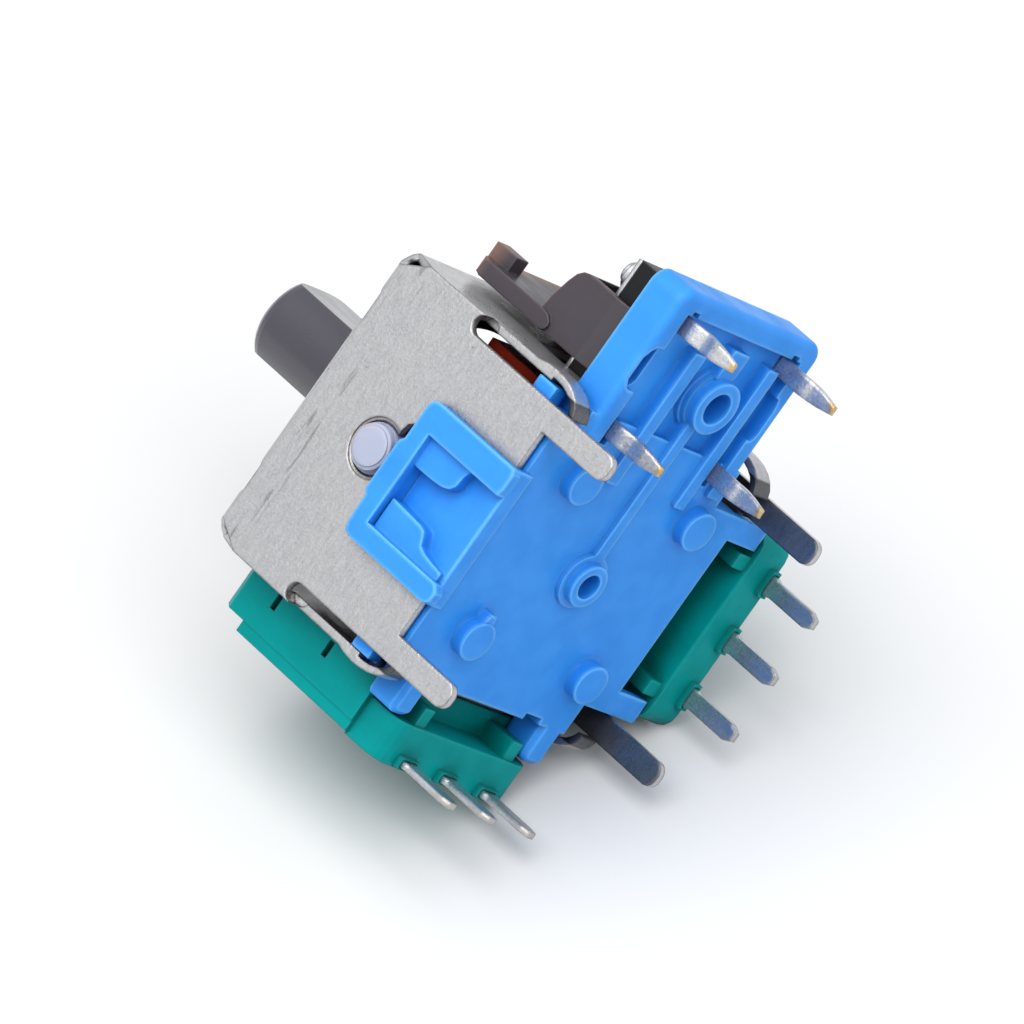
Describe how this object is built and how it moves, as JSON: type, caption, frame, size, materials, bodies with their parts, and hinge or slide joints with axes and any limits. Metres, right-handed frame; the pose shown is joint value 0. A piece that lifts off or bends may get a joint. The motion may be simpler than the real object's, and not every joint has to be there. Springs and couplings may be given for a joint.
{
  "type": "two-axis thumb stick module",
  "caption": "Through-hole thumb stick: stamped metal can, stick on crossed gimbals, two turn sensors, and a push switch on a moulded base.",
  "frame": {"origin": "centre of the circuit board seating plane, the flat ends of the base's bosses, on the upright stick's axis", "axes": "+Z along the upright stick, away from the board; +X towards the push switch; -Y towards the wall with the clip"},
  "size_m": [0.0202, 0.0169, 0.02],
  "materials": {
    "tinned_steel": "satin tin plate, rolled grain",
    "blue_plastic": "moulded, soft sheen",
    "grey_plastic": "moulded, soft sheen",
    "pin_steel": "ground",
    "white_plastic": "moulded, slightly see-through",
    "brown_plastic": "moulded",
    "taupe_plastic": "moulded",
    "spring_wire": "drawn wire",
    "black_plastic": "moulded",
    "cover_steel": "satin",
    "silver_pins": "tin plate with gold-toned tips",
    "green_plastic": "moulded, soft sheen",
    "contact_brass": "stamped",
    "track_board": "laminate"
  },
  "bodies": {
    "module": {"base": "blue_plastic", "metal_can": "tinned_steel", "rear_sensor_element": "track_board", "rear_sensor_housing": "green_plastic", "rear_sensor_terminal_1": "silver_pins", "rear_sensor_terminal_2": "silver_pins", "rear_sensor_terminal_3": "silver_pins", "return_spring": "spring_wire", "side_sensor_element": "track_board", "side_sensor_housing": "green_plastic", "side_sensor_terminal_1": "silver_pins", "side_sensor_terminal_2": "silver_pins", "side_sensor_terminal_3": "silver_pins", "tact_body": "black_plastic", "tact_cover": "cover_steel", "tact_dome": "cover_steel", "tact_terminal_1": "silver_pins", "tact_terminal_2": "silver_pins", "tact_terminal_3": "silver_pins", "tact_terminal_4": "silver_pins"},
    "push_arm": {"push_arm": "taupe_plastic"},
    "rocker": {"rocker": "brown_plastic", "stick_pin": "pin_steel"},
    "stick": {"stick": "grey_plastic"},
    "arch": {"arch_gimbal": "white_plastic", "rear_sensor_rotor": "white_plastic", "rear_sensor_wiper": "contact_brass"},
    "side_rotor": {"side_sensor_rotor": "white_plastic", "side_sensor_wiper": "contact_brass"},
    "plunger": {"tact_plunger": "black_plastic"},
    "spring_plate": {"spring_plate": "brown_plastic"}
  },
  "joints": [
    {"name": "push_in", "type": "hinge", "parent": "module", "child": "push_arm", "pos_m": [-0.0068, 0, 0.0062], "axis": [0, 1, 0], "range_deg": [0, 1.3], "stiffness_Nm_per_rad": 2, "springref_deg": -0.57, "deforming": ["tact_dome", "return_spring"]},
    {"name": "rocker_tilt", "type": "hinge", "parent": "push_arm", "child": "rocker", "pos_m": [0, 0, 0.0062], "axis": [1, 0, 0], "range_deg": [-20, 20], "stiffness_Nm_per_rad": 0.02},
    {"name": "stick_tilt", "type": "hinge", "parent": "rocker", "child": "stick", "pos_m": [0, 0, 0.0062], "axis": [0, 1, 0], "range_deg": [-20, 20], "stiffness_Nm_per_rad": 0.02},
    {"name": "arch_tilt", "type": "hinge", "parent": "module", "child": "arch", "pos_m": [0, 0, 0.0062], "axis": [0, 1, 0], "range_deg": [-20, 20]},
    {"name": "side_rotor_turn", "type": "hinge", "parent": "module", "child": "side_rotor", "pos_m": [-0.0068, 0, 0.0062], "axis": [1, 0, 0], "range_deg": [-20, 20]},
    {"name": "plunger_press", "type": "slide", "parent": "module", "child": "plunger", "axis": [0, 0, -1], "range_m": [0, 0.00035]},
    {"name": "plate_drop", "type": "slide", "parent": "module", "child": "spring_plate", "axis": [0, 0, -1], "range_m": [0, 0.00017]}
  ],
  "couplings": [
    {"joint": "arch_tilt", "follows": "stick_tilt", "ratio": 1},
    {"joint": "side_rotor_turn", "follows": "rocker_tilt", "ratio": 1},
    {"joint": "plunger_press", "follows": "push_in", "m_per_rad": 0.0148},
    {"joint": "plate_drop", "follows": "push_in", "m_per_rad": 0.0068}
  ]
}
